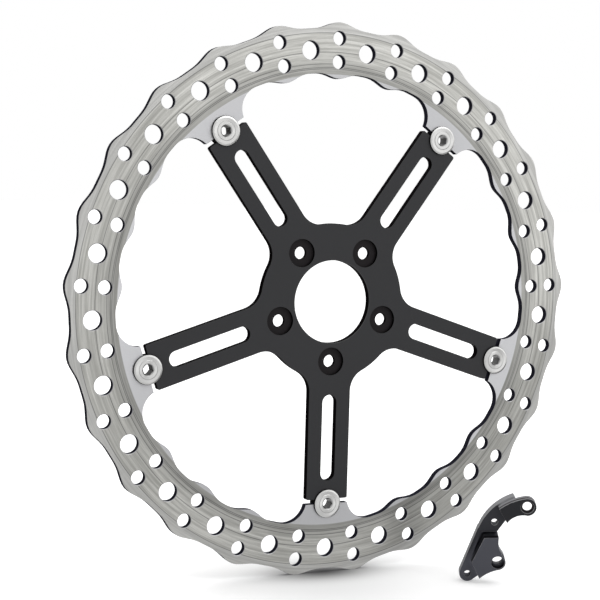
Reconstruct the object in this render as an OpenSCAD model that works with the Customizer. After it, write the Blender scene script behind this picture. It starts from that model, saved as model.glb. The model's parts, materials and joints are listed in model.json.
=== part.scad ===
// Floating wave brake disc for a motorcycle front wheel, with its loose caliper bracket.
// The disc stands upright. Its axis is Y, its outboard face looks along -Y, and +Z is up.
// The origin is the centre of the hub bore, in the middle of the disc's thickness.

/* [Friction ring] */
// Outer diameter over the wave crests
ring_od = 381; // [378:0.5:384]
// Depth of the waves in the outer edge
wave_depth = 4.2; // [2:0.1:5]
// Diameter of the inner edge at its hollows
ring_id = 312.4; // [311:0.2:313]
// Depth of the scallops in the inner edge
scallop_depth = 3.8; // [2:0.1:4.2]
// Thickness of the ring
ring_t = 5.08; // [4.5:0.01:5.2]
// Number of waves, a multiple of the number of arms
waves = 25; // [25:5:25]
// Diameter of the large cooling holes
big_hole_d = 12.7; // [10:0.1:13]
// Diameter of the small cooling holes
small_hole_d = 9.5; // [7:0.1:10]
// Radius of the row of large holes
big_hole_r = 171.7; // [171:0.1:172.5]
// Distance of the two small rows from the large row
small_row_offset = 8; // [7.5:0.1:8.5]

/* [Carrier] */
// Thickness of the carrier
carrier_t = 5.6; // [5.3:0.1:6]
// Width of an arm
arm_w = 31.4; // [29:0.2:32]
// Radius of the hub between two arms
hub_r = 53.9; // [53:0.1:56]
// Diameter of the hub bore
hub_bore_d = 57.15; // [50:0.05:60]
// Diameter of the bolt circle
bolt_pcd = 82.55; // [80:0.05:84]
// Diameter of a bolt hole
bolt_d = 8.5; // [6:0.1:9]
// Diameter of a counterbore
counterbore_d = 19.3; // [16:0.1:20]
// Depth of a counterbore
counterbore_depth = 2.3; // [1:0.1:3]
// Width of the slot in each arm
slot_w = 10.8; // [8:0.1:13]
// Radius at which a slot begins
slot_in = 64.5; // [62:0.5:70]
// Radius at which a slot ends
slot_out = 124.5; // [110:0.5:126]
// Diameter of the seat that lies on the wheel hub
seat_d = 102; // [96:0.5:106]
// Height of that seat above the arms' rear faces
seat_h = 0.3; // [0.2:0.05:0.5]

/* [Drive bobbins] */
// Radius of the circle of bobbins
bobbin_circle_r = 140.5; // [140:0.1:140.8]
// Diameter of a bobbin's shank
shank_d = 12.7; // [11:0.1:13]
// Diameter of a bobbin's flange
flange_d = 20; // [18:0.1:21]
// Height of the flange above the carrier
flange_h = 1.7; // [1.4:0.1:2.2]
// Height of the collar above the flange
collar_h = 0.2; // [0.1:0.05:0.4]
// Distance across the flats of the hexagon socket
hex_af = 6.6; // [5:0.1:7]
// Radial running clearance round the shank
running_fit = 0.06; // [0.03:0.01:0.09]

/* [Caliper bracket] */
// Thickness of the bracket's spine
spine_t = 6.6; // [6:0.1:7.5]
// Height of the raised arm and plate above the spine
step_t = 6.5; // [6:0.1:7]
// Diameter of the tapped holes for the caliper
tapped_d = 4.7; // [4:0.1:5]
// Diameter of the bolt holes for the fork leg
fork_hole_d = 6.4; // [6:0.1:6.8]
// Diameter of the spot faces round those bolt holes
spot_face_d = 9; // [8.6:0.1:9.2]
// Diameter of the rear recesses for the fork leg's locating sleeves
sleeve_d = 9; // [8.6:0.1:9.2]

/* [Hidden] */

arms = 5;
arm_pitch = 360 / arms;
wave_pitch = 360 / waves;
between_arms = 90 - arm_pitch / 2;     // halfway to the next arm, from an arm that points up
first_arm = -90;                       // one arm points straight down
through = 40;                          // longer than any hole
ring_front = -ring_t / 2;
carrier_front = -carrier_t / 2;
carrier_back = carrier_t / 2;
arm_rear = carrier_back - seat_h;

arm_end = 137.45;                      // the arms and the tabs end 3.2 mm apart
tab_end = 140.65;
fillet_r = 15.9;                       // between an arm and the hub
tab_fillet_r = 15.5;                   // between a tab and the ring
corner_r = 1.2;                        // on the arm ends
hole_break = 0.35;                     // bevel round each drilled hole
wave_points = 16;
wave_shape = 1.8;                      // more than 1 makes crests narrow and hollows wide
scallops_to = 74;                      // the inner edge is plain from here to a tab's fillet

// Bobbin, from its front to its back
fit_gap = 0.03;                        // between a bobbin's parts and the carrier's faces
spring_y = arm_rear + 2 * fit_gap;
spring_wire = 0.3;
spring_wave = 0.3;
spring_waves = 3;
spring_in = shank_d / 2 + 0.15;
spring_out = 9.4;
washer_y = spring_y + spring_wire + spring_wave + fit_gap;
washer_t = 0.6;
washer_d = 19.6;
washer_hole_d = shank_d + 0.3;
clip_y = washer_y + washer_t + fit_gap;
clip_t = 0.8;
groove_y = clip_y - fit_gap;
groove_t = clip_t + 2 * fit_gap;
groove_d = shank_d - 1.5;
bobbin_end = groove_y + groove_t + 0.75;

// Retaining ring, an external circlip
clip_in = groove_d / 2 + 0.05;
clip_band = 1.55;                      // mean width of its band
clip_shift = 0.35;                     // makes the band widest opposite the gap
clip_gap = 1.6;
clip_ears = [[-2.1, clip_in + 1.3], [2.1, clip_in + 1.3]];
clip_ear_r = 1.5;
clip_eye_d = 1.3;

// Bracket: the middle of its lower tapped hole on the spine's front face, and how it leans
bracket_at = [81.76, -58.33, -183.57];
bracket_turn = [9.18, -2.81, -27.76];
lug_r = 5.5;
lug_corner = [7, -0.7];                // where the lug meets the hollow edge under the plate
edge_lean = 21.8;                      // the spine's straight edge, from the bracket's own vertical
edge_len = 34;
spine_c = [43.7, 19.1];                // centre of the spine's outer curve
spine_r = 38.7;
spine_arc = [158, 108];                // the angles that this curve runs between
spine_top = [33, 53.6];
arm_curve_r = 37.3;                    // upper edge of the raised arm, about the same centre
arm_curve_from = 127;
upper_tap = [18.6, 37.4];
upper_boss = [40.2, 50.1];
upper_boss_r = arm_curve_r - norm(upper_boss - spine_c);
lower_boss = [20.3, 10.4];
lower_boss_r = 5.3;
spine_notch = [26.4, 38.8];            // inner corner where the raised arm begins
neck = [19.8, 29.8];
plate_top = 28.4;
plate_corner = [11.1, plate_top];
plate_left = [2.6, 10.8];
lower_tip = [7.7, -1.1];
waist_c = [39.85, 25];                 // the hollow between the plate's top and the lower boss
waist_r = norm(waist_c - lower_boss) - lower_boss_r;
under_c = [25.3, -21];                 // the hollow edge under the plate
under_r = norm(under_c - lower_boss) - lower_boss_r;
inside_c = [37.15, 31.3];              // the hollow edge under the raised arm
inside_r = 13.1;
inside_arc = [76, 144];
recess_depth = 4.6;
recess_top = 30.5;
arm_back = 0.1;                        // rear face of the raised arm
upper_spot_depth = 2;
lower_spot_depth = 4.9;
fork_land = 1.5;                       // what a fork hole keeps between spot face and sleeve

$fn = 64;

// ---- helpers ----
function polar(r, a) = r * [cos(a), sin(a)];
function arc(c, r, a0, a1, n) = [for (i = [0:n]) c + polar(r, a0 + (a1 - a0) * i / n)];
function turned(pts, a) = [for (p = pts) [p.x * cos(a) - p.y * sin(a), p.x * sin(a) + p.y * cos(a)]];
function mirrored(pts) = [for (i = [len(pts) - 1:-1:0]) [-pts[i].x, pts[i].y]];
function angle_of(v) = atan2(v.y, v.x);
function arm_angle(k) = first_arm + arm_pitch * k;
// All arms' share of an outline that is drawn for an arm pointing up
function round_arms(half) =
    [for (k = [0:arms - 1]) each turned(concat(half, mirrored(half)), arm_angle(k) - 90)];

// A flat outline in the XZ plane as a plate between two distances along Y
module slab(y0, y1) {
    translate([0, y1, 0]) rotate([90, 0, 0]) linear_extrude(y1 - y0) children();
}

// A round hole or disc along Y
module along_y(at, d, y0, y1) {
    translate([at.x, y1, at.y]) rotate([90, 0, 0]) cylinder(d = d, h = y1 - y0);
}

// A through hole with a bevel at both faces of a plate of thickness t
module drilled(at, d, t) {
    along_y(at, d, -through / 2, through / 2);
    for (side = [-1, 1])
        translate([at.x, side * (t / 2 - hole_break), at.y])
            rotate([-90 * side, 0, 0])
                cylinder(d1 = d, d2 = d + 4 * hole_break, h = 2 * hole_break);
}

module at_arm(k) {
    rotate([0, -arm_angle(k), 0]) translate([bobbin_circle_r, 0, 0]) children();
}

// The bores that the bobbins' shanks run in
module bobbin_bores() {
    for (k = [0:arms - 1])
        along_y(polar(bobbin_circle_r, arm_angle(k)), shank_d + 2 * running_fit,
                -through / 2, through / 2);
}

// ---- friction ring ----
function swell(a) = pow((1 + cos(a)) / 2, wave_shape);
function outer_r(a) = ring_od / 2 - wave_depth * (1 - swell(waves * (a - first_arm) + 180));
function inner_r(a) = ring_id / 2 - scallop_depth * swell(waves * (a - 90) + 180);

outer_edge = [for (i = [0:waves * wave_points - 1])
    let (a = 360 * i / (waves * wave_points)) polar(outer_r(a), a)];

tab_c = let (x = arm_w / 2 + tab_fillet_r)
    [x, sqrt(pow(ring_id / 2 - tab_fillet_r, 2) - x * x)];
tab_tangent = angle_of(tab_c);
inner_half = concat(
    [for (i = [0:30])
        let (a = between_arms + (tab_tangent - between_arms) * i / 30)
        polar(a > scallops_to ? ring_id / 2 : inner_r(a), a)],
    arc(tab_c, tab_fillet_r, tab_tangent, 180 - asin((tab_end - tab_c.y) / tab_fillet_r), 14));

module rotor_ring() {
    color([0.66, 0.65, 0.63])
    difference() {
        slab(ring_front, -ring_front) difference() {
            polygon(outer_edge);
            polygon(round_arms(inner_half));
        }
        bobbin_bores();
        for (i = [0:waves - 1]) {
            drilled(polar(big_hole_r, first_arm + wave_pitch * i), big_hole_d, ring_t);
            for (row = [-1, 1])
                drilled(polar(big_hole_r + row * small_row_offset,
                              first_arm + wave_pitch * (i + 0.5)), small_hole_d, ring_t);
        }
    }
}

// ---- carrier ----
hub_c = let (x = arm_w / 2 + fillet_r) [x, sqrt(pow(hub_r + fillet_r, 2) - x * x)];
carrier_half = concat(
    arc([0, 0], hub_r, between_arms, angle_of(hub_c), 8),
    arc(hub_c, fillet_r, 180 + angle_of(hub_c), 180, 12),
    arc([arm_w / 2 - corner_r, arm_end - corner_r], corner_r, 0, 90, 4));

slot_outline = concat(
    arc([0, slot_out - slot_w / 2], slot_w / 2, 0, 180, 20),
    arc([0, slot_in + slot_w / 2], slot_w / 2, 180, 360, 20));

module carrier() {
    color([0.16, 0.16, 0.17])
    difference() {
        slab(carrier_front, carrier_back) difference() {
            polygon(round_arms(carrier_half));
            for (k = [0:arms - 1]) polygon(turned(slot_outline, arm_angle(k) - 90));
        }
        bobbin_bores();
        drilled([0, 0], hub_bore_d, carrier_t);
        for (k = [0:arms - 1]) {
            drilled(polar(bolt_pcd / 2, arm_angle(k)), bolt_d, carrier_t);
            along_y(polar(bolt_pcd / 2, arm_angle(k)), counterbore_d,
                    -through, carrier_front + counterbore_depth);
        }
        // The arms' rear faces stand back from the seat
        slab(arm_rear, through) difference() {
            circle(r = ring_od / 2);
            circle(d = seat_d);
        }
    }
}

// ---- bobbins and what holds them ----
flange_y = carrier_front - fit_gap;
face_y = carrier_front - flange_h;
bobbin_profile = [
    [0, bobbin_end], [shank_d / 2 - 0.5, bobbin_end], [shank_d / 2, bobbin_end - 0.5],
    [shank_d / 2, groove_y + groove_t], [groove_d / 2, groove_y + groove_t],
    [groove_d / 2, groove_y], [shank_d / 2, groove_y],
    [shank_d / 2, flange_y], [flange_d / 2 - 0.15, flange_y], [flange_d / 2, flange_y - 0.15],
    [flange_d / 2, face_y + 0.65], [flange_d / 2 - 0.25, face_y + 0.35],
    [flange_d / 2 - 1.3, face_y], [6.5, face_y + 0.12], [6.3, face_y - 0.02],
    [6.1, face_y - collar_h], [4.9, face_y - collar_h], [0, face_y - collar_h]
];
socket_mouth_d = 8.6;

// Turns a profile of radius and distance along Y about the Y axis
module turned_part(profile) {
    rotate([-90, 0, 0]) rotate_extrude() polygon([for (p = profile) [p.x, p.y]]);
}

module socket_mouth(y, side) {
    translate([0, y - side * 0.01, 0]) rotate([-90 * side, 0, 0])
        cylinder(d1 = socket_mouth_d, d2 = hex_af - 1, h = (socket_mouth_d - hex_af + 1) / 2);
}

module bobbin(k) {
    color([0.8, 0.8, 0.78])
    at_arm(k)
    difference() {
        turned_part(bobbin_profile);
        rotate([90, 30, 0]) cylinder(d = hex_af / cos(30), h = through, center = true, $fn = 6);
        socket_mouth(face_y - collar_h, 1);
        socket_mouth(bobbin_end, -1);
    }
}

// A thin ring whose height waves three times round
ring_steps = 48;
spring_points = [for (i = [0:ring_steps - 1])
    let (a = 360 * i / ring_steps,
         y = spring_y + spring_wave * (1 - cos(spring_waves * a)) / 2)
    each [for (c = [[spring_in, 0], [spring_out, 0], [spring_out, spring_wire],
                    [spring_in, spring_wire]])
        [c.x * cos(a), y + c.y, c.x * sin(a)]]];
spring_faces = [for (i = [0:ring_steps - 1], j = [0:3])
    let (a = 4 * i, b = 4 * ((i + 1) % ring_steps), n = (j + 1) % 4)
    each [[a + j, a + n, b + j], [a + n, b + n, b + j]]];

module wave_spring(k) {
    color([0.12, 0.12, 0.13]) at_arm(k) polyhedron(spring_points, spring_faces);
}

module flat_washer(k) {
    color([0.1, 0.1, 0.11])
    at_arm(k)
    difference() {
        along_y([0, 0], washer_d, washer_y, washer_y + washer_t);
        along_y([0, 0], washer_hole_d, -through, through);
    }
}

// A thin band, widest opposite its gap, with an eye at each end
module retaining_ring(k) {
    color([0.09, 0.09, 0.1])
    at_arm(k)
    difference() {
        slab(clip_y, clip_y + clip_t) difference() {
            union() {
                translate([0, -clip_shift]) circle(r = clip_in + clip_band);
                for (ear = clip_ears) translate(ear) circle(r = clip_ear_r);
            }
            translate([-clip_gap / 2, 0]) square([clip_gap, flange_d]);
        }
        along_y([0, 0], 2 * clip_in, -through, through);
        for (ear = clip_ears) along_y(ear, clip_eye_d, -through, through);
    }
}

// ---- caliper bracket, in its own upright plane ----
edge_dir = [sin(edge_lean), cos(edge_lean)];
edge_out = [-edge_dir.y, edge_dir.x];

// The tangent from the lug's corner, as the angle where it touches
lug_touch = angle_of(lug_corner) - acos(lug_r / norm(lug_corner));

// Edges that the spine and the plate share: the hollow by the fork leg, and round the lower boss
waist_edge = concat(
    arc(waist_c, waist_r, 180 - asin((plate_top - waist_c.y) / waist_r),
        180 + angle_of(waist_c - lower_boss), 8),
    arc(lower_boss, lower_boss_r, angle_of(waist_c - lower_boss),
        angle_of(under_c - lower_boss), 14));
// The hollow edge under the plate, as far as a corner
function under_edge(corner) =
    arc(under_c, under_r, angle_of(lower_boss - under_c), angle_of(corner - under_c), 8);

spine_outline = concat(
    arc([0, 0], lug_r, lug_touch, angle_of(edge_out) - 360, 14),
    [lug_r * edge_out + edge_len * edge_dir],
    arc(spine_c, spine_r, spine_arc[0], spine_arc[1], 12),
    [spine_top, spine_notch, neck],
    waist_edge,
    under_edge(lug_corner));

raised_arm = concat(
    arc(spine_c, arm_curve_r, arm_curve_from, angle_of(upper_boss - spine_c), 8),
    arc(upper_boss, upper_boss_r, angle_of(upper_boss - spine_c), -90, 16),
    arc(inside_c, inside_r, inside_arc[0], inside_arc[1], 8));

raised_plate = concat(
    [plate_left, plate_corner],
    waist_edge,
    under_edge(lower_tip));

// A wedge along the plate's left side, and a strip above its top that runs past the neck
recess_outline = [[9.2, recess_top], [2.9, 10.2], plate_corner, [40, plate_top], [40, recess_top]];

// A spot face in front, a short land, and a recess for a locating sleeve behind
module fork_hole(at, spot_depth) {
    along_y(at, fork_hole_d, -through, through);
    along_y(at, spot_face_d, -through, -step_t + spot_depth);
    along_y(at, sleeve_d, -step_t + spot_depth + fork_land, through);
}

module caliper_bracket() {
    color([0.2, 0.2, 0.21])
    translate(bracket_at) rotate(bracket_turn)
    difference() {
        union() {
            difference() {
                slab(0, spine_t) polygon(spine_outline);
                slab(-1, recess_depth) polygon(recess_outline);
            }
            slab(-step_t, spine_t) polygon(raised_plate);
            slab(-step_t, arm_back) polygon(raised_arm);
        }
        for (at = [[0, 0], upper_tap]) along_y(at, tapped_d, -through, through);
        fork_hole(upper_boss, upper_spot_depth);
        fork_hole(lower_boss, lower_spot_depth);
    }
}

rotor_ring();
carrier();
bobbin(0);  // bobbin_1
bobbin(1);  // bobbin_2
bobbin(2);  // bobbin_3
bobbin(3);  // bobbin_4
bobbin(4);  // bobbin_5
wave_spring(0);  // wave_spring_1
wave_spring(1);  // wave_spring_2
wave_spring(2);  // wave_spring_3
wave_spring(3);  // wave_spring_4
wave_spring(4);  // wave_spring_5
flat_washer(0);  // flat_washer_1
flat_washer(1);  // flat_washer_2
flat_washer(2);  // flat_washer_3
flat_washer(3);  // flat_washer_4
flat_washer(4);  // flat_washer_5
retaining_ring(0);  // retaining_ring_1
retaining_ring(1);  // retaining_ring_2
retaining_ring(2);  // retaining_ring_3
retaining_ring(3);  // retaining_ring_4
retaining_ring(4);  // retaining_ring_5
caliper_bracket();
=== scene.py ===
"""Looks for a floating brake disc and its loose caliper bracket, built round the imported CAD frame.

Metres throughout. The disc's axis is Y, its outboard face looks along -Y, and +Z is up.
"""

import json
import math

import bpy
from mathutils import Matrix, Vector


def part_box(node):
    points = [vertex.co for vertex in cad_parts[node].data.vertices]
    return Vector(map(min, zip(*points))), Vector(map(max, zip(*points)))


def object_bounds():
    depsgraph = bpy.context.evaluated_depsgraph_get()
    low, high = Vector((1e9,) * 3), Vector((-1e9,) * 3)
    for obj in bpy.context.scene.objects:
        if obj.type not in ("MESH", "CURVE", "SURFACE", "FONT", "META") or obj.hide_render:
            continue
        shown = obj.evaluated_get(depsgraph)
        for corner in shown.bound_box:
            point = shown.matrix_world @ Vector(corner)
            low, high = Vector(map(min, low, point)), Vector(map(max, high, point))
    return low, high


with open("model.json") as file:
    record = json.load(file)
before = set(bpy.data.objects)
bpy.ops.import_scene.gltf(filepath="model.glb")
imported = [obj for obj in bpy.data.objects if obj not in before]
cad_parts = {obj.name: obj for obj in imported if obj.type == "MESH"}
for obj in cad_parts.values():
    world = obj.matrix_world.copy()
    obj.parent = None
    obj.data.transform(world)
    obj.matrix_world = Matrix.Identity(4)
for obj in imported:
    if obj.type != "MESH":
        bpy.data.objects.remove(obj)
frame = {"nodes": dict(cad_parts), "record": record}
nodes = frame["nodes"]
cad_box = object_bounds()
scene = bpy.context.scene

MM = 0.001
ARMS = 5


# ---------------------------------------------------------------- camera
CAMERA_PLACE = Vector((-0.46697, -0.92524, 0.07580))
CAMERA_AZIMUTH = 25.61
CAMERA_DOWN = 4.158
CAMERA_ROLL = 1.572
CAMERA_LENS = 90.34


def make_camera():
    """The viewpoint: to the left of the disc's axis, a little above its hub."""
    azimuth, down, roll = (math.radians(a) for a in (CAMERA_AZIMUTH, CAMERA_DOWN, CAMERA_ROLL))
    forward = Vector((math.sin(azimuth) * math.cos(down), math.cos(azimuth) * math.cos(down),
                      -math.sin(down)))
    level = forward.cross(Vector((0, 0, 1))).normalized()
    right = level * math.cos(roll) + level.cross(forward) * math.sin(roll)
    axes = Matrix((right, right.cross(forward), -forward)).transposed()
    data = bpy.data.cameras.new("camera")
    data.lens = CAMERA_LENS
    data.sensor_width = 36
    data.clip_end = 50
    camera = bpy.data.objects.new("camera", data)
    camera.matrix_world = Matrix.Translation(CAMERA_PLACE) @ axes.to_4x4()
    scene.collection.objects.link(camera)
    scene.camera = camera


# ---------------------------------------------------------------- node trees
class Graph:
    """Short calls for building a material's node tree."""

    def __init__(self, name, tree=None):
        self.material = None
        if tree is None:
            self.material = bpy.data.materials.new(name)
            self.material.use_nodes = True
            tree = self.material.node_tree
            self.shader = tree.nodes["Principled BSDF"]
        self.tree = tree

    def put(self, socket, value):
        if isinstance(value, bpy.types.NodeSocket):
            self.tree.links.new(value, socket)
        else:
            socket.default_value = value

    def set(self, **inputs):
        """Sets the shader's own sockets, named with _ for each space."""
        for key, value in inputs.items():
            self.put(self.shader.inputs[key.replace("_", " ")], value)

    def node(self, kind, settings=None, **inputs):
        made = self.tree.nodes.new(kind)
        for key, value in (settings or {}).items():
            setattr(made, key, value)
        for key, value in inputs.items():
            self.put(made.inputs[key.replace("_", " ")], value)
        return made

    def math(self, operation, *values):
        made = self.tree.nodes.new("ShaderNodeMath")
        made.operation = operation
        for socket, value in zip(made.inputs, values):
            self.put(socket, value)
        return made.outputs[0]

    def times(self, a, b):
        return self.math("MULTIPLY", a, b)

    def minus(self, a, b):
        return self.math("SUBTRACT", a, b)

    def dot(self, vector, axis):
        made = self.node("ShaderNodeVectorMath", {"operation": "DOT_PRODUCT"})
        self.put(made.inputs[0], vector)
        made.inputs[1].default_value = axis
        return made.outputs["Value"]

    def largest(self, first, *others):
        for other in others:
            first = self.math("MAXIMUM", first, other)
        return first

    def blend(self, factor, a, b):
        """a where factor is 0 and b where it is 1, as colours."""
        made = self.tree.nodes.new("ShaderNodeMix")
        made.data_type = "RGBA"
        self.put(made.inputs[0], factor)
        self.put(made.inputs[6], a)
        self.put(made.inputs[7], b)
        return made.outputs[2]

    def fade(self, value, start, end, low=0.0, high=1.0):
        """low up to start, high from end on, smooth between."""
        made = self.node("ShaderNodeMapRange", {"interpolation_type": "SMOOTHSTEP"},
                         Value=value, From_Min=start, From_Max=end, To_Min=low, To_Max=high)
        return made.outputs[0]

    def line(self, value, at, half_width):
        """1 at one value, falling to 0 at half_width to each side."""
        away = self.math("ABSOLUTE", self.minus(value, at))
        return self.fade(away, half_width, 0.2 * half_width)

    def vector(self, x, y, z=0.0):
        made = self.tree.nodes.new("ShaderNodeCombineXYZ")
        for socket, value in zip(made.inputs, (x, y, z)):
            self.put(socket, value)
        return made.outputs[0]

    def noise(self, vector, scale, detail=3.0, roughness=0.5):
        made = self.node("ShaderNodeTexNoise", None, Vector=vector, Scale=scale, Detail=detail,
                         Roughness=roughness)
        return made.outputs[0]

    def bump(self, height, strength, distance):
        made = self.node("ShaderNodeBump", None, Height=height, Strength=strength,
                         Distance=distance)
        return made.outputs[0]

    def place(self):
        """The point on the object, in metres, and its surface's direction."""
        made = self.tree.nodes.new("ShaderNodeTexCoord")
        return made.outputs["Object"], made.outputs["Normal"]

    def split(self, vector):
        made = self.node("ShaderNodeSeparateXYZ", None, Vector=vector)
        return made.outputs[0], made.outputs[1], made.outputs[2]

    def radius(self, x, z):
        return self.math("SQRT", self.math("ADD", self.times(x, x), self.times(z, z)))


def grey(value, warmth=0.0):
    """A near-grey colour, warmer above 0 and bluer below it."""
    return (value * (1 + 0.5 * warmth), value * (1 + 0.35 * warmth), value * (1 - warmth), 1)


# ---------------------------------------------------------------- light and floor
def area_light(name, place, target, size, power):
    data = bpy.data.lights.new(name, "AREA")
    data.shape = "RECTANGLE"
    data.size, data.size_y = size
    data.energy = power
    light = bpy.data.objects.new(name, data)
    light.location = place
    light.rotation_euler = (Vector(target) - Vector(place)).to_track_quat("-Z", "Y").to_euler()
    scene.collection.objects.link(light)


def make_light():
    """A white room, dimmer on its left, with a dark corner low down in front on the right and a
    dark wall behind. Seen straight, as a backdrop, it is plain white."""
    world = bpy.data.worlds.new("studio")
    scene.world = world
    world.use_nodes = True
    graph = Graph("studio", world.node_tree)
    background = world.node_tree.nodes["Background"]
    coordinates = graph.tree.nodes.new("ShaderNodeTexCoord")
    x, y, z = graph.split(coordinates.outputs["Generated"])
    front = graph.fade(z, -0.30, 0.25, 1.14, 1.22)
    corner = graph.times(graph.fade(x, 0.45, 0.58), graph.fade(z, -0.04, -0.20))
    front = graph.times(front, graph.minus(1.0, graph.times(corner, 0.95)))
    front = graph.times(front, graph.fade(x, 0.22, 0.48, 0.56, 1.04))
    wall = graph.times(graph.fade(graph.math("ABSOLUTE", x), 0.74, 0.50),
                       graph.fade(graph.math("ABSOLUTE", z), 0.50, 0.28))
    behind = graph.fade(wall, 0.0, 1.0, 0.85, 0.04)
    room = graph.blend(graph.fade(y, -0.2, 0.4), front, behind)
    room = graph.blend(graph.fade(z, 0.3, 0.8), room, grey(1.0))
    seen = graph.tree.nodes.new("ShaderNodeLightPath")
    graph.put(background.inputs["Color"],
              graph.blend(seen.outputs["Is Camera Ray"], room, grey(1.0)))
    area_light("key", (0.7, -1.2, 1.6), (0.05, 0, 0.05), (1.2, 1.0), 8)
    area_light("top", (0.0, 0.7, 1.5), (0, 0, -0.1), (2.6, 1.8), 9)
    scene.view_settings.view_transform = "Standard"
    scene.view_settings.look = "None"


FLOOR_HALF = 20                        # metres from the floor's middle to its edge
PAINTED_POOL_WIDTH = 0.085                     # the painted shadow close under the disc
PAINTED_POOL_DEPTH = 0.046
PAINTED_HAZE_WIDTH = 0.15                      # the wide, faint painted shadow round it
PAINTED_HAZE_DEPTH = 0.17
PAINTED_HAZE_X = -0.015
PAINTED_HAZE_Y = -0.03
PAINTED_HAZE_STRENGTH = 0.30


def make_floor():
    """A pale table top with soft painted shadows, its emission stronger away from its middle as
    painted light. Glossy surfaces look through it, so that it doesn't flare in them."""
    floor_z = cad_box[0].z - 0.05 * MM
    mesh = bpy.data.meshes.new("studio_floor")
    corners = [(x * FLOOR_HALF, y * FLOOR_HALF, floor_z)
               for x, y in ((-1, -1), (1, -1), (1, 1), (-1, 1))]
    mesh.from_pydata(corners, [], [(0, 1, 2, 3)])
    floor = bpy.data.objects.new("studio_floor", mesh)
    floor.visible_glossy = False
    scene.collection.objects.link(floor)
    graph = Graph("studio_floor")
    point, _ = graph.place()
    x, y, _ = graph.split(point)
    paper = graph.noise(point, 300, 4)
    # Painted shadows: a close dark patch under the disc and a wide, faint one round it
    near = graph.radius(graph.times(x, 1 / PAINTED_POOL_WIDTH), graph.times(y, 1 / PAINTED_POOL_DEPTH))
    painted_pool = graph.fade(near, 1.0, 0.0)
    painted_pool = graph.times(painted_pool, graph.times(painted_pool, 0.87))
    wide = graph.radius(graph.times(graph.minus(x, PAINTED_HAZE_X), 1 / PAINTED_HAZE_WIDTH),
                        graph.times(graph.minus(y, PAINTED_HAZE_Y), 1 / PAINTED_HAZE_DEPTH))
    painted_haze = graph.times(graph.fade(wide, 1.0, 0.0), PAINTED_HAZE_STRENGTH)
    outside_painted_shadow = graph.times(graph.minus(1.0, painted_pool), graph.minus(1.0, painted_haze))
    # Painted light: the floor emits, more away from its middle and less inside the painted shadows
    painted_glow = graph.fade(graph.radius(x, y), 0.0, 0.6, 0.25, 0.45)
    graph.set(Base_Color=graph.blend(outside_painted_shadow, grey(0.0), grey(0.92)), Roughness=0.95,
              Specular_IOR_Level=0.05, Emission_Color=grey(1.0),
              Emission_Strength=graph.times(painted_glow, outside_painted_shadow),
              Normal=graph.bump(paper, 0.05, 0.1 * MM))
    mesh.materials.append(graph.material)


# ---------------------------------------------------------------- materials
WORN_FROM = 183.0 * MM                 # the ground band that the pads sweep
WORN_TO = 155.2 * MM
FACE_LINES = [183.0, 170.1, 162.2, 159.7, 158.8]


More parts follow.
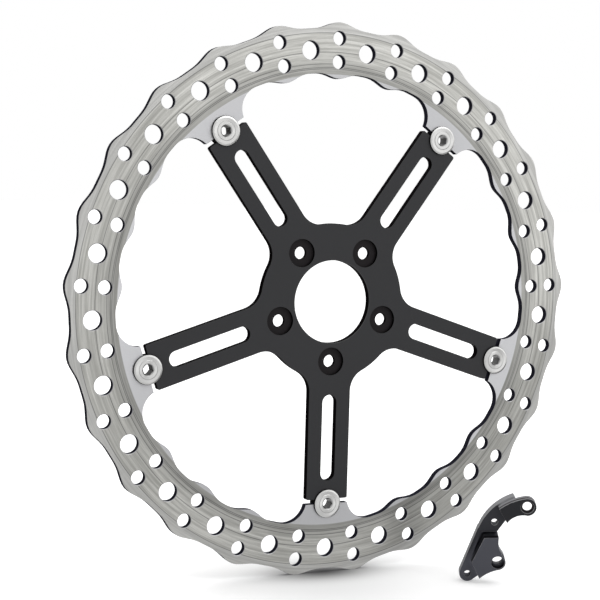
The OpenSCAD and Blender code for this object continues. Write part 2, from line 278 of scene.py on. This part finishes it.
def ground_stainless():
    """A laser-cut blank: its faces ground in rings where the pads sweep, its cut edges dark, and
    painted shade on the band towards the lower right and on the left.
    """
    graph = Graph("ground_stainless")
    point, direction = graph.place()
    x, y, z = graph.split(point)
    _, facing, _ = graph.split(direction)
    facing = graph.math("ABSOLUTE", facing)
    radius = graph.radius(x, z)
    round_x = graph.math("DIVIDE", x, radius)
    round_z = graph.math("DIVIDE", z, radius)

    # Long streaks round the disc: slow along the circle, quick across it
    def streaks(along, across, detail):
        where = graph.vector(graph.times(round_x, along), graph.times(radius, across),
                             graph.times(round_z, along))
        return graph.noise(where, 1.0, detail, 0.6)

    broad = graph.fade(streaks(3.0, 520, 3), 0.3, 0.7)
    fine = graph.fade(streaks(14.0, 5200, 4), 0.3, 0.7)
    hair = graph.fade(streaks(40.0, 16000, 2), 0.5, 0.75)
    blotch = graph.fade(graph.noise(point, 38, 3), 0.45, 0.75)
    inside = graph.fade(radius, WORN_TO + 0.3 * MM, WORN_TO - 0.3 * MM)
    crests = graph.fade(radius, WORN_FROM - 0.3 * MM, WORN_FROM + 0.3 * MM)
    lines = graph.largest(*[graph.line(radius, r * MM, 0.42 * MM) for r in FACE_LINES])
    near_inner = graph.fade(radius, 169 * MM, 155.5 * MM)

    ground = graph.blend(broad, grey(0.45, 0.045), grey(0.80, 0.035))
    ground = graph.blend(graph.times(fine, 0.42), ground, grey(0.42, 0.04))
    ground = graph.blend(graph.times(hair, 0.32), ground, grey(0.26, 0.02))
    ground = graph.blend(graph.times(blotch, 0.15), ground, grey(0.38, 0.06))
    ground = graph.blend(graph.times(near_inner, 0.52), ground, grey(0.22, 0.03))
    mill = graph.noise(point, 2600, 3)
    # Painted shade: the band is darker towards the lower right, and on the left
    painted_band_shade = graph.minus(graph.times(x, 0.77), graph.times(z, 0.64))
    painted_band_shade = graph.largest(graph.fade(painted_band_shade, 125 * MM, 165 * MM),
                           graph.fade(x, -95 * MM, -150 * MM, 0.0, 0.5))
    ground = graph.blend(graph.times(painted_band_shade, 0.32), ground, grey(0.02, 0.2))
    crest = graph.blend(0.4, ground, graph.blend(mill, grey(0.54), grey(0.62)))
    tab = graph.blend(mill, grey(0.62, -0.018), grey(0.71, -0.018))
    face = graph.blend(crests, ground, crest)
    face = graph.blend(graph.times(lines, 0.7), face, grey(0.12, 0.0))
    face = graph.blend(inside, face, tab)
    cut_lines = graph.noise(graph.vector(graph.times(x, 3200), graph.times(y, 120),
                                         graph.times(z, 3200)), 1.0, 2)
    cut = graph.blend(cut_lines, (0.014, 0.014, 0.022, 1), (0.050, 0.050, 0.072, 1))
    is_face = graph.fade(facing, 0.85, 0.98)
    is_edge = graph.times(graph.fade(facing, 0.35, 0.6), graph.fade(facing, 0.98, 0.85))
    colour = graph.blend(is_face, cut, face)
    colour = graph.blend(graph.times(is_edge, 0.8), colour, grey(0.58, -0.02))
    metal = graph.largest(is_face, is_edge)
    rough = graph.blend(inside, graph.blend(fine, grey(0.32), grey(0.42)), grey(0.48))
    graph.set(Base_Color=colour, Metallic=graph.blend(metal, grey(1.0), grey(0.92)),
              Roughness=graph.blend(metal, grey(0.8), rough),
              Specular_IOR_Level=0.2, Specular_Tint=grey(0.5), Anisotropic=0.7)
    tangent = graph.node("ShaderNodeTangent", {"direction_type": "RADIAL", "axis": "Y"})
    graph.put(graph.shader.inputs["Tangent"], tangent.outputs[0])
    swept = graph.times(graph.minus(1.0, inside), graph.math("ADD", fine, broad))
    grooves = graph.math("ADD", swept, graph.times(graph.minus(1.0, is_face),
                                                   graph.times(cut_lines, 2.0)))
    grooves = graph.minus(grooves, graph.times(lines, 0.8))
    graph.set(Normal=graph.bump(grooves, 0.2, 0.02 * MM))
    return graph.material


RAISED_DEPTH = 1.5 * MM                # the raised arm and the plate lie less deep than this
SPINE_DEPTH = 2.5 * MM                 # the spine's front lies deeper than this
RECESS_DEPTH = 6.5 * MM                # the recess's walls end here
LUG_TOP = -16 * MM                     # heights, from the bracket's middle
CROWN_FOOT = 19.5 * MM


def bracket_shade(graph, base, point, facing, wall, depth, tone, painted_wall_tone, middle):
    """The bracket's colour, with its painted light and shade, and how far each place is painted
    dark.
    Its raised arm and spine are painted darker than its plate as painted shade, the strip above the
    arm is painted as pale as its walls as painted light, and its recess and the holes above it get
    painted shade."""
    height = graph.minus(graph.split(point)[2], middle)
    is_face = graph.fade(facing, 0.6, 0.9)
    # Painted shade: the raised arm's front is darker
    raised = graph.times(graph.fade(depth, RAISED_DEPTH + 0.5 * MM, RAISED_DEPTH - 0.5 * MM),
                         graph.fade(height, -4 * MM, 4 * MM))
    raised = graph.times(raised, is_face)
    base = graph.blend(graph.times(raised, 0.8), base, grey(tone * 0.1, -0.05))
    # Painted shade: the spine's front is darker above the lug
    spine = graph.fade(depth, SPINE_DEPTH - 0.5 * MM, SPINE_DEPTH + 0.5 * MM)
    spine = graph.times(spine, is_face)
    shade = graph.times(spine, graph.fade(height, LUG_TOP - 4 * MM, LUG_TOP + 4 * MM))
    base = graph.blend(graph.times(shade, 0.6), base, grey(tone * 0.1, -0.05))
    # Painted light: high up, the spine's front is as pale as the walls
    painted_crown_light = graph.fade(height, CROWN_FOOT - 1.5 * MM, CROWN_FOOT + 1.5 * MM)
    base = graph.blend(graph.times(spine, painted_crown_light), base, grey(painted_wall_tone, -0.03))
    # Painted shade: occlusion darkens the recess, the walls in the lee of the spine below the
    # middle, and the holes' walls
    open_air = graph.node("ShaderNodeAmbientOcclusion", {"only_local": True, "samples": 8},
                          Distance=5 * MM).outputs["AO"]
    closed = graph.minus(1.0, open_air)
    lee = graph.fade(depth, RECESS_DEPTH + 0.5 * MM, RECESS_DEPTH - 0.5 * MM)
    recess = graph.largest(graph.fade(closed, 0.10, 0.42), graph.times(wall, lee))
    below = graph.fade(height, 0.0, -2 * MM)
    painted_bore_shade = graph.times(wall, graph.fade(closed, 0.5, 0.7))
    painted_dark = graph.largest(graph.times(below, recess), painted_bore_shade)
    return graph.blend(painted_dark, base, grey(0.13, -0.12)), painted_dark


def black_anodised(name, axis, front, tones, tint, middle=None):
    """Machined aluminium, blasted and anodised black, with a painted highlight where its edges break
    and painted shade in its pockets. Its faces look along axis, and front is where the foremost one
    lies on it. The tones are those of its faces, of the painted highlight on its edges and of its
    walls, whose tone is painted too. The bracket gives its middle height too, for its own painted
    shades."""
    tone, edge_highlight_tone, painted_wall_tone = tones
    graph = Graph(name)
    point, direction = graph.place()
    facing = graph.math("ABSOLUTE", graph.dot(direction, axis))
    depth = graph.minus(graph.dot(point, axis), front)
    grain = graph.noise(point, 5200, 2, 0.7)
    cloud = graph.noise(point, 14, 2)
    scuffs = graph.fade(graph.noise(point, 900, 4, 0.7), 0.62, 0.80)
    base = graph.blend(cloud, grey(tone * 0.93, tint), grey(tone * 1.07, tint))
    base = graph.blend(graph.times(graph.fade(grain, 0.55, 0.8), 0.25), base, grey(tone * 1.8))
    base = graph.blend(graph.times(scuffs, 0.10), base, grey(tone * 3))
    # Painted highlight: the edges' bevels are painted paler, in patches
    is_edge = graph.times(graph.fade(facing, 0.2, 0.45), graph.fade(facing, 0.97, 0.85))
    patchy = graph.fade(graph.noise(point, 160, 3), 0.35, 0.65, 0.5, 1.0)
    base = graph.blend(graph.times(is_edge, patchy), base, grey(edge_highlight_tone))
    # Painted light and shade on the walls: a tone of their own, which the caller gives
    wall = graph.fade(facing, 0.45, 0.15)
    base = graph.blend(wall, base, grey(painted_wall_tone, -0.03))
    painted_dark = wall
    if middle is not None:
        base, painted_dark = bracket_shade(graph, base, point, facing, wall, depth, tone, painted_wall_tone,
                                   middle)
    # Painted shade: faces sunk a little below the front, as in the pockets, are darker
    painted_pocket_shade = graph.times(graph.fade(depth, 0.8 * MM, 1.6 * MM),
                       graph.fade(depth, 4.0 * MM, 3.0 * MM))
    pocket = (tone * 0.22, tone * 0.15, tone * 0.18, 1)
    base = graph.blend(graph.times(painted_pocket_shade, 0.9), base, pocket)
    # A near-black metal with a halved tint stays dark even where it is seen edge-on
    graph.set(Base_Color=base, Roughness=graph.blend(cloud, grey(0.46), grey(0.52)),
              Metallic=painted_dark, Specular_IOR_Level=0.30, Specular_Tint=grey(0.5),
              Normal=graph.bump(grain, 0.10, 0.02 * MM))
    return graph.material


def bobbin_silver(name, centre):
    """Turned and blasted aluminium: faint rings about the bobbin's own axis, with painted shade in
    its socket, in its groove and on the flange's outer wall.
    """
    graph = Graph(name)
    point, direction = graph.place()
    x, y, z = graph.split(point)
    across_x = graph.minus(x, centre.x)
    across_z = graph.minus(z, centre.z)
    radius = graph.radius(across_x, across_z)
    rings = graph.noise(graph.vector(graph.times(radius, 9000), graph.times(y, 9000),
                                     graph.times(across_x, 60)), 1.0, 2)
    grain = graph.noise(point, 6000, 2, 0.7)
    smudge = graph.noise(point, 240, 3)
    tone = graph.blend(smudge, grey(0.66, 0.01), grey(0.76, 0.01))
    tone = graph.blend(graph.times(graph.fade(rings, 0.5, 0.8), 0.25), tone, grey(0.56))
    # Painted shade inside the hex socket
    painted_socket_shade = graph.fade(radius, 4.0 * MM, 3.8 * MM)
    tone = graph.blend(graph.times(painted_socket_shade, 0.6), tone, grey(0.22, -0.02))
    # Painted shade on the flange's outer wall, beyond its bevel
    _, facing, _ = graph.split(direction)
    painted_flange_shade = graph.times(graph.fade(graph.math("ABSOLUTE", facing), 0.92, 0.72),
                       graph.fade(radius, 9.35 * MM, 9.6 * MM))
    tone = graph.blend(painted_flange_shade, tone, grey(0.006))
    # Painted shade: a dark line where the groove round the collar lies
    groove = graph.line(radius, 6.4 * MM, 0.35 * MM)
    tone = graph.blend(graph.times(groove, 0.45), tone, grey(0.30))
    rough = graph.blend(rings, grey(0.26), grey(0.38))
    turned = graph.node("ShaderNodeVectorTransform",
                        {"vector_type": "VECTOR", "convert_from": "OBJECT", "convert_to": "WORLD"},
                        Vector=graph.vector(across_z, 0.0, graph.times(across_x, -1.0)))
    graph.set(Base_Color=tone, Metallic=0.95, Roughness=rough, Specular_Tint=grey(0.5),
              Anisotropic=0.75, Tangent=turned.outputs[0],
              Normal=graph.bump(graph.math("ADD", rings, graph.times(grain, 0.6)), 0.18, 0.02 * MM))
    return graph.material


def dark_steel(name, tone, metallic, roughness):
    """Hard spring steel with a black oxide skin, thin where it rubs."""
    graph = Graph(name)
    point, direction = graph.place()
    _, facing, _ = graph.split(direction)
    facing = graph.math("ABSOLUTE", facing)
    grain = graph.noise(point, 3800, 3, 0.6)
    cloud = graph.noise(point, 180, 3)
    base = graph.blend(cloud, grey(tone * 0.7, -0.03), grey(tone * 1.4, 0.02))
    rubbed = graph.times(graph.fade(facing, 0.9, 0.99), graph.fade(grain, 0.55, 0.75))
    base = graph.blend(graph.times(rubbed, 0.4), base, grey(0.30))
    graph.set(Base_Color=base, Metallic=metallic,
              Roughness=graph.blend(grain, grey(roughness), grey(roughness + 0.15)),
              Normal=graph.bump(grain, 0.2, 0.015 * MM))
    return graph.material


def dress(name, material):
    """Gives a CAD node a material, in place of the one it was packed with."""
    slots = nodes[name].data.materials
    slots.clear()
    slots.append(material)


def soften(name, width, segments=2, join=0.002 * MM, exact=False):
    """Breaks a CAD node's sharp edges, for the light that real edges catch. Points closer than
    join become one first. An exact width isn't held back by short edges nearby."""
    piece = nodes[name]
    weld = piece.modifiers.new("weld", "WELD")
    weld.merge_threshold = join
    if not exact:
        flats = piece.modifiers.new("flats", "DECIMATE")
        flats.decimate_type = "DISSOLVE"
        flats.angle_limit = math.radians(0.4)
    edges = piece.modifiers.new("edges", "BEVEL")
    edges.width = width
    edges.segments = segments
    edges.limit_method = "ANGLE"
    edges.angle_limit = math.radians(32)
    edges.use_clamp_overlap = not exact
    even = piece.modifiers.new("even", "WEIGHTED_NORMAL")
    even.keep_sharp = True


def bracket_front():
    """The direction from the bracket's front to its back, and where its front lies along it."""
    mounts = frame["record"]["mounts"]
    axis = next(m["axis"] for m in mounts if m["name"] == "fork_hole_lower")
    axis = Vector(axis)
    return axis, min(axis.dot(v.co) for v in nodes["caliper_bracket"].data.vertices)


def bracket_middle():
    """The height halfway between the bracket's plate and its raised arm."""
    mounts = {m["name"]: m["pos_m"] for m in frame["record"]["mounts"]}
    return (mounts["fork_hole_lower"][2] + mounts["fork_hole_upper"][2]) / 2


def dress_everything():
    dress("rotor_ring", ground_stainless())
    # The carrier's walls are painted near black, as painted shade
    dress("carrier", black_anodised("black_anodised", (0, 1, 0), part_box("carrier")[0].y,
                                    (0.027, 0.06, 0.006), -0.05))
    axis, front = bracket_front()
    # The bracket's walls are painted pale, as painted light
    dress("caliper_bracket", black_anodised("black_anodised_bracket", axis, front,
                                            (0.062, 0.30, 0.25), -0.14, bracket_middle()))
    springs = dark_steel("spring_steel", 0.10, 0.9, 0.30)
    washers = dark_steel("black_washer", 0.035, 0.5, 0.42)
    clips = dark_steel("black_clip", 0.030, 0.6, 0.38)
    for k in range(1, ARMS + 1):
        low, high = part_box(f"bobbin_{k}")
        dress(f"bobbin_{k}", bobbin_silver(f"bobbin_silver_{k}", (low + high) / 2))
        dress(f"wave_spring_{k}", springs)
        dress(f"flat_washer_{k}", washers)
        dress(f"retaining_ring_{k}", clips)
    soften("rotor_ring", 0.15 * MM)
    soften("carrier", 0.14 * MM)
    soften("caliper_bracket", 0.12 * MM, 1, 0.15 * MM, exact=True)


make_camera()
make_light()
make_floor()
dress_everything()
